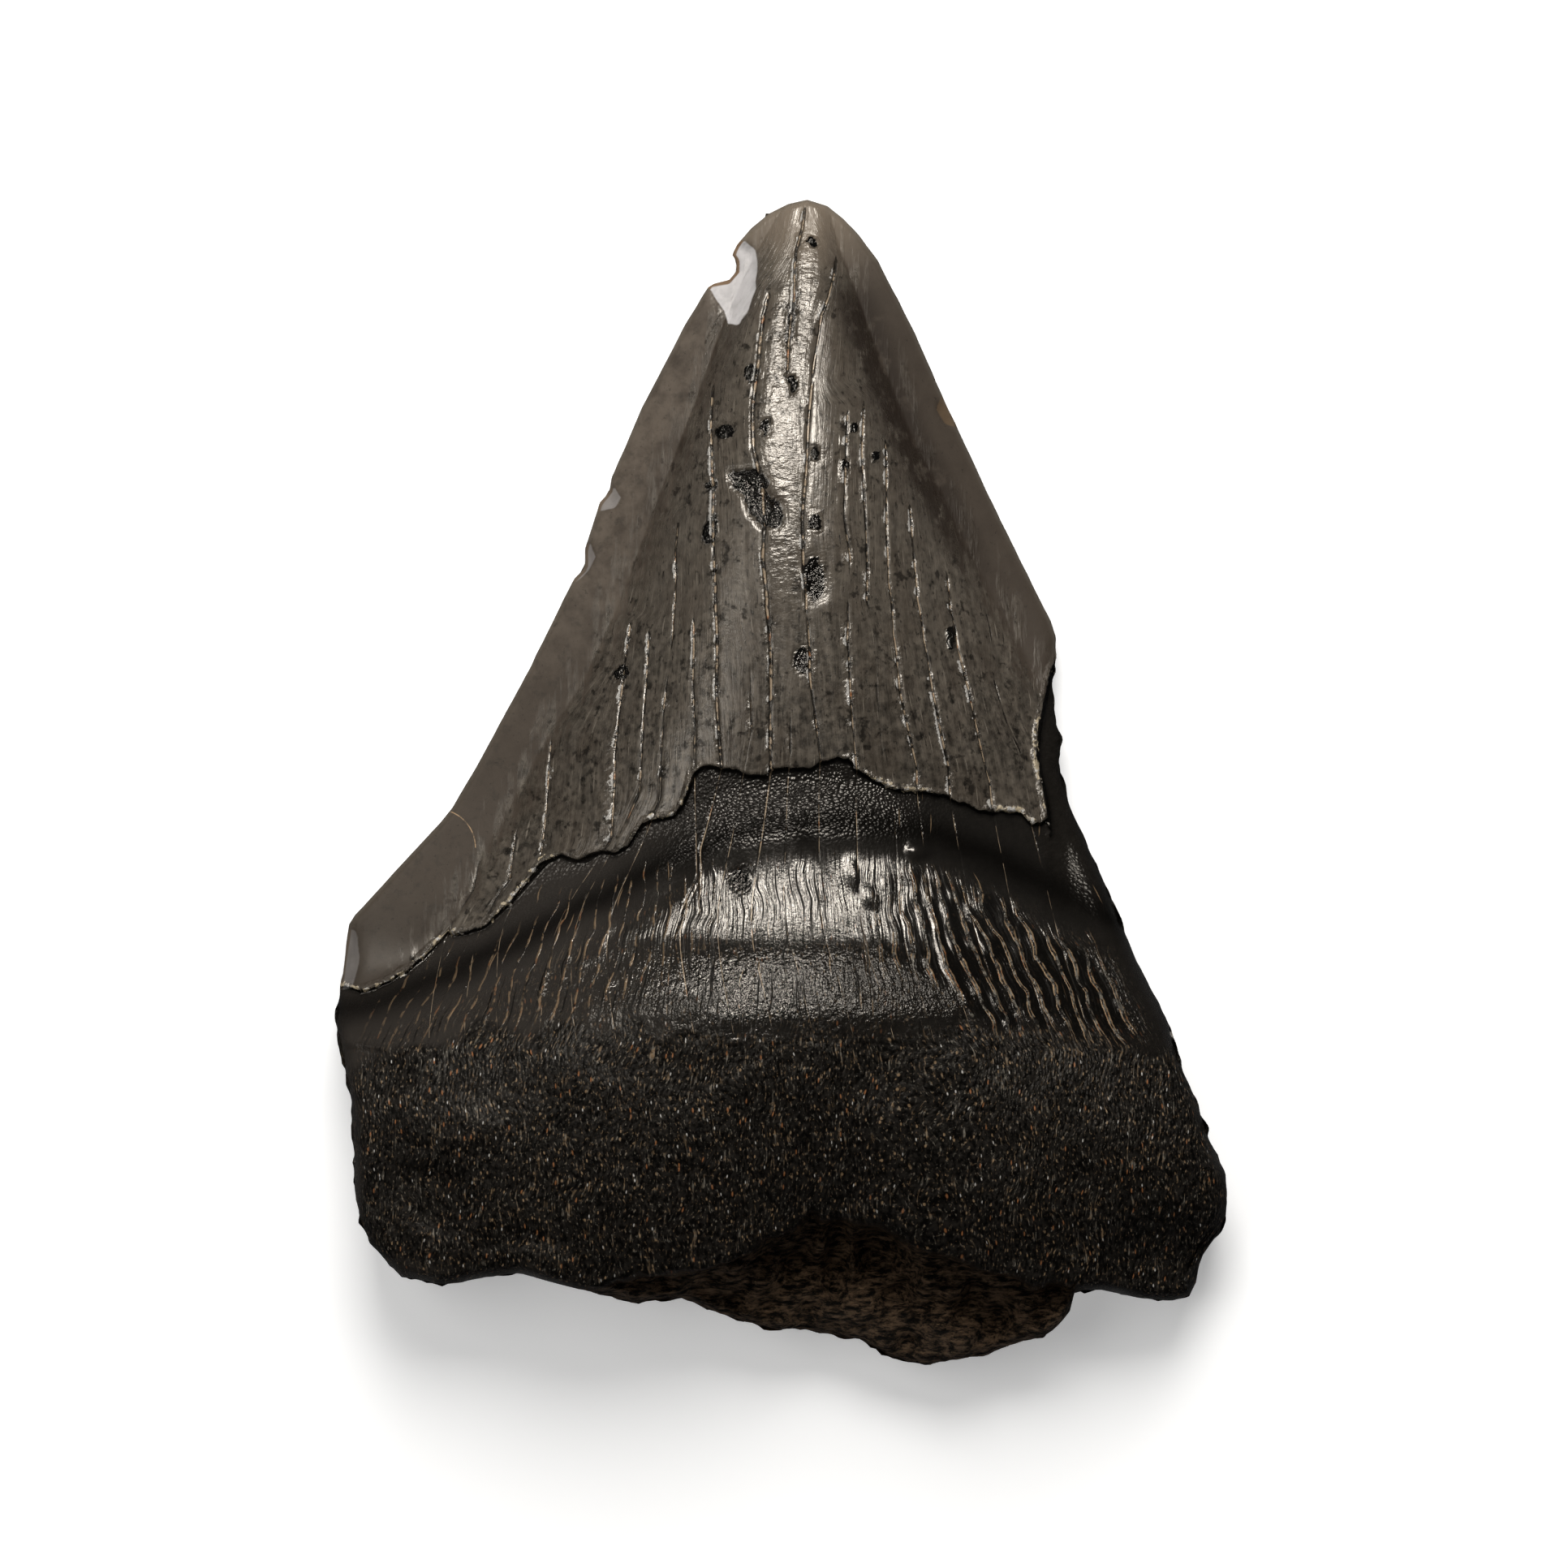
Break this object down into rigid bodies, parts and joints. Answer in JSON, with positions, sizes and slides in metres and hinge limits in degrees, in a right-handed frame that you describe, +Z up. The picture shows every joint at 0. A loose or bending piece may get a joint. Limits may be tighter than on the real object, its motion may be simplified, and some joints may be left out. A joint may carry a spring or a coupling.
{
  "type": "fossil megalodon tooth",
  "caption": "Broad triangular fossil shark tooth lying on its flat outer face, with a cracked glossy crown and a dark broken root.",
  "frame": {"origin": "on the surface the tooth lies on, under the middle of its outline", "axes": "+Y from the broken base to the tip, +Z up out of the domed inner face, +X to the right seen from above"},
  "size_m": [0.0839, 0.1099, 0.0232],
  "materials": {
    "fossil": "polished grey-brown enamel with fine cracks over satin black, porous mineralised root"
  },
  "bodies": {
    "root": {"tooth": "fossil"}
  },
  "joints": []
}
